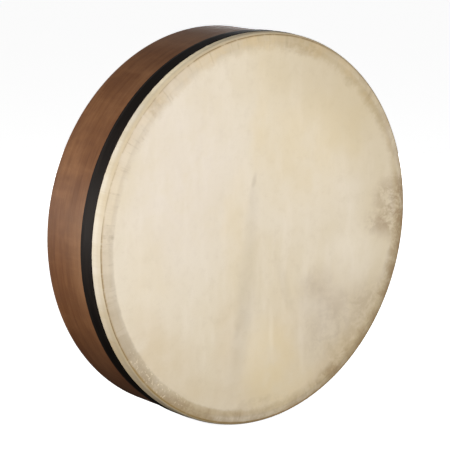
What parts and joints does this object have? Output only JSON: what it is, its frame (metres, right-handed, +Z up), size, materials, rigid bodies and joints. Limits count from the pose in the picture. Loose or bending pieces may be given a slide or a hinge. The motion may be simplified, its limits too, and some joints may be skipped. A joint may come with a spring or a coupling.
{
  "type": "bodhran",
  "caption": "Shallow round frame drum with one skin head, a bent wooden shell, a crossbar to hold it by and a tuning hoop pushed against the skin by screws.",
  "frame": {"origin": "the middle of the crossbar, where the hand holds the drum, on the drum's axis and 22 mm forward of the rear rim", "axes": "+Z up with the drum held upright and the crossbar vertical; +Y backwards along the drum's axis, out of its open rear; the skin faces -Y; +X to the right of someone who faces the skin"},
  "size_m": [0.46, 0.1039, 0.46],
  "materials": {
    "stained_shell": "satin brown stain, grain round the drum",
    "goat_skin": "natural dried goat skin, matte",
    "black_band": "satin black",
    "staple_steel": "galvanised",
    "pale_ply": "clear satin",
    "beech": "satin brown stain",
    "plated_steel": "zinc plated",
    "screw_steel": "zinc plated",
    "black_steel": "black oxide"
  },
  "bodies": {
    "drum": {"shell": "stained_shell", "goat_skin": "goat_skin", "edge_band": "black_band", "skin_staples": "staple_steel", "lug_nut_1": "plated_steel", "lug_nut_2": "plated_steel", "lug_nut_3": "plated_steel", "lug_nut_4": "plated_steel", "lug_nut_5": "plated_steel", "lug_nut_6": "plated_steel", "lug_nut_7": "plated_steel", "lug_nut_8": "plated_steel", "tuning_bracket_1": "plated_steel", "tuning_bracket_2": "plated_steel", "tuning_bracket_3": "plated_steel", "tuning_bracket_4": "plated_steel", "tuning_bracket_5": "plated_steel", "tuning_bracket_6": "plated_steel", "tuning_bracket_7": "plated_steel", "tuning_bracket_8": "plated_steel", "bracket_screws": "screw_steel", "crossbar": "beech", "crossbar_block_upper": "beech", "crossbar_block_lower": "beech", "crossbar_screws": "screw_steel", "block_screws": "screw_steel"},
    "tuning_hoop": {"tuning_ring": "pale_ply", "thrust_plate_1": "plated_steel", "thrust_plate_2": "plated_steel", "thrust_plate_3": "plated_steel", "thrust_plate_4": "plated_steel", "thrust_plate_5": "plated_steel", "thrust_plate_6": "plated_steel", "thrust_plate_7": "plated_steel", "thrust_plate_8": "plated_steel", "thrust_plate_screws": "screw_steel"},
    "screw_1": {"tuning_screw_1": "black_steel"},
    "screw_2": {"tuning_screw_2": "black_steel"},
    "screw_3": {"tuning_screw_3": "black_steel"},
    "screw_4": {"tuning_screw_4": "black_steel"},
    "screw_5": {"tuning_screw_5": "black_steel"},
    "screw_6": {"tuning_screw_6": "black_steel"},
    "screw_7": {"tuning_screw_7": "black_steel"},
    "screw_8": {"tuning_screw_8": "black_steel"}
  },
  "joints": [
    {"name": "tuning_ring_slide", "type": "slide", "parent": "drum", "child": "tuning_hoop", "axis": [0, -1, 0], "range_m": [-0.004, 0]},
    {"name": "tuning_screw_1_turn", "type": "hinge", "parent": "tuning_hoop", "child": "screw_1", "pos_m": [0.19744, -0.0137, 0.08178], "axis": [0, -1, 0], "range_deg": [-1800, 0]},
    {"name": "tuning_screw_2_turn", "type": "hinge", "parent": "tuning_hoop", "child": "screw_2", "pos_m": [0.08178, -0.0137, 0.19744], "axis": [0, -1, 0], "range_deg": [-1800, 0]},
    {"name": "tuning_screw_3_turn", "type": "hinge", "parent": "tuning_hoop", "child": "screw_3", "pos_m": [-0.08178, -0.0137, 0.19744], "axis": [0, -1, 0], "range_deg": [-1800, 0]},
    {"name": "tuning_screw_4_turn", "type": "hinge", "parent": "tuning_hoop", "child": "screw_4", "pos_m": [-0.19744, -0.0137, 0.08178], "axis": [0, -1, 0], "range_deg": [-1800, 0]},
    {"name": "tuning_screw_5_turn", "type": "hinge", "parent": "tuning_hoop", "child": "screw_5", "pos_m": [-0.19744, -0.0137, -0.08178], "axis": [0, -1, 0], "range_deg": [-1800, 0]},
    {"name": "tuning_screw_6_turn", "type": "hinge", "parent": "tuning_hoop", "child": "screw_6", "pos_m": [-0.08178, -0.0137, -0.19744], "axis": [0, -1, 0], "range_deg": [-1800, 0]},
    {"name": "tuning_screw_7_turn", "type": "hinge", "parent": "tuning_hoop", "child": "screw_7", "pos_m": [0.08178, -0.0137, -0.19744], "axis": [0, -1, 0], "range_deg": [-1800, 0]},
    {"name": "tuning_screw_8_turn", "type": "hinge", "parent": "tuning_hoop", "child": "screw_8", "pos_m": [0.19744, -0.0137, -0.08178], "axis": [0, -1, 0], "range_deg": [-1800, 0]}
  ],
  "couplings": [
    {"joint": "tuning_screw_1_turn", "follows": "tuning_ring_slide", "rad_per_m": 7853.9},
    {"joint": "tuning_screw_2_turn", "follows": "tuning_ring_slide", "rad_per_m": 7853.9},
    {"joint": "tuning_screw_3_turn", "follows": "tuning_ring_slide", "rad_per_m": 7853.9},
    {"joint": "tuning_screw_4_turn", "follows": "tuning_ring_slide", "rad_per_m": 7853.9},
    {"joint": "tuning_screw_5_turn", "follows": "tuning_ring_slide", "rad_per_m": 7853.9},
    {"joint": "tuning_screw_6_turn", "follows": "tuning_ring_slide", "rad_per_m": 7853.9},
    {"joint": "tuning_screw_7_turn", "follows": "tuning_ring_slide", "rad_per_m": 7853.9},
    {"joint": "tuning_screw_8_turn", "follows": "tuning_ring_slide", "rad_per_m": 7853.9}
  ]
}
